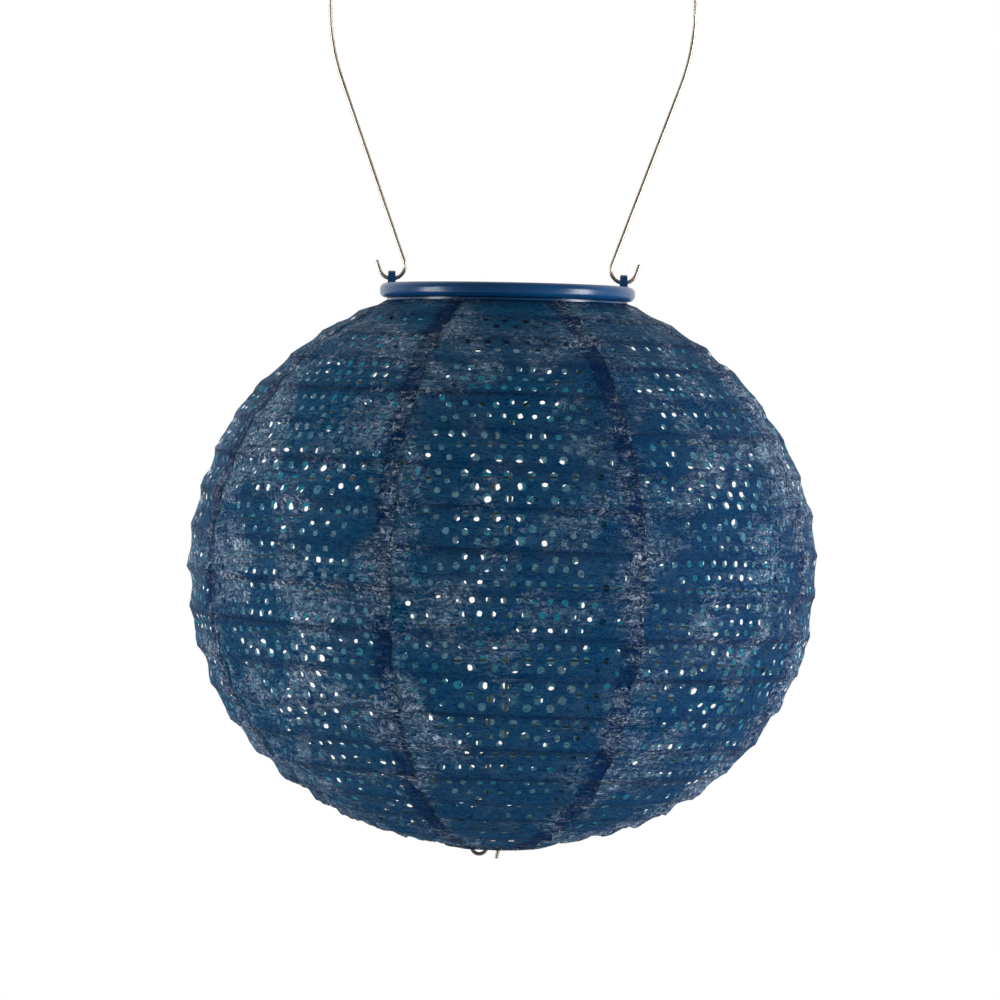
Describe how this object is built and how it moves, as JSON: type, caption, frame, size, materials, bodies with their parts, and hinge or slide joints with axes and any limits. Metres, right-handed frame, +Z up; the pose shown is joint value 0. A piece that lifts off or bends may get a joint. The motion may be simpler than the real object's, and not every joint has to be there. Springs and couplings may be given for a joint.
{
  "type": "accordion lantern",
  "caption": "Round accordion lantern of perforated navy fabric on a spiral wire rib, with a solar light cap, a wire bail and an inner expander.",
  "frame": {"origin": "the point in the bail's hanging notch that bears on a hook", "axes": "+Z up, +X along the line through the cap's two lugs, -Y towards the viewer"},
  "size_m": [0.3048, 0.3048, 0.5126],
  "materials": {
    "bail_steel": "drawn stainless wire with a soft sheen",
    "cap_plastic": "moulded navy plastic with a glossy rounded edge",
    "solar_cell": "dark blue cell with fine conductor lines",
    "window_clear": "clear",
    "gasket_rubber": "matt black",
    "lead_insulation": "insulated wire",
    "housing_plastic": "fine moulded grain",
    "board_laminate": "green laminate",
    "diode_epoxy": "clear epoxy with a yellow tint",
    "lens_frosted": "frosted",
    "battery_sleeve": "plain printed sleeve without marks",
    "contact_steel": "nickel plate",
    "switch_metal": "stamped sheet",
    "switch_plastic": "black",
    "screw_steel": "zinc plate",
    "frame_steel": "drawn spring wire",
    "shade_fabric": "perforated spun-bonded polyethylene, crinkled, dyed navy"
  },
  "bodies": {
    "bail": {"bail_wire": "bail_steel"},
    "cap": {"cap_shell": "cap_plastic", "solar_panel": "solar_cell", "panel_window": "window_clear", "panel_gasket": "gasket_rubber", "panel_leads": "lead_insulation", "light_housing": "housing_plastic", "circuit_board": "board_laminate", "led_left": "diode_epoxy", "led_right": "diode_epoxy", "led_lens": "lens_frosted", "battery": "battery_sleeve", "battery_spring": "contact_steel", "battery_contact": "contact_steel", "switch_body": "switch_metal", "housing_screws": "screw_steel"},
    "door": {"battery_door": "housing_plastic"},
    "slider": {"switch_slider": "switch_plastic"},
    "shade": {"shade_collar": "cap_plastic", "top_hoop": "frame_steel", "rib_spiral": "frame_steel", "expander_wire": "frame_steel", "gore_panel_1": "shade_fabric", "gore_panel_2": "shade_fabric", "gore_panel_3": "shade_fabric", "gore_panel_4": "shade_fabric", "gore_panel_5": "shade_fabric", "gore_panel_6": "shade_fabric", "gore_panel_7": "shade_fabric", "gore_panel_8": "shade_fabric"},
    "base_ring": {"bottom_ring": "frame_steel"}
  },
  "joints": [
    {"name": "bail_swing", "type": "hinge", "parent": "bail", "child": "cap", "pos_m": [0, 0, -0.2298], "axis": [1, 0, 0], "range_deg": [-90, 90]},
    {"name": "cap_twist", "type": "hinge", "parent": "cap", "child": "shade", "pos_m": [0, 0, -0.244], "axis": [0, 0, 1], "range_deg": [0, 26]},
    {"name": "shade_collapse", "type": "slide", "parent": "shade", "child": "base_ring", "axis": [0, 0, 1], "range_m": [0, 0.215], "deforming": ["rib_spiral", "gore_panel_1", "gore_panel_2", "gore_panel_3", "gore_panel_4", "gore_panel_5", "gore_panel_6", "gore_panel_7", "gore_panel_8"]},
    {"name": "battery_door_slide", "type": "slide", "parent": "cap", "child": "door", "axis": [1, 0, 0], "range_m": [0, 0.01]},
    {"name": "switch_slide", "type": "slide", "parent": "cap", "child": "slider", "axis": [1, 0, 0], "range_m": [0, 0.004]}
  ]
}
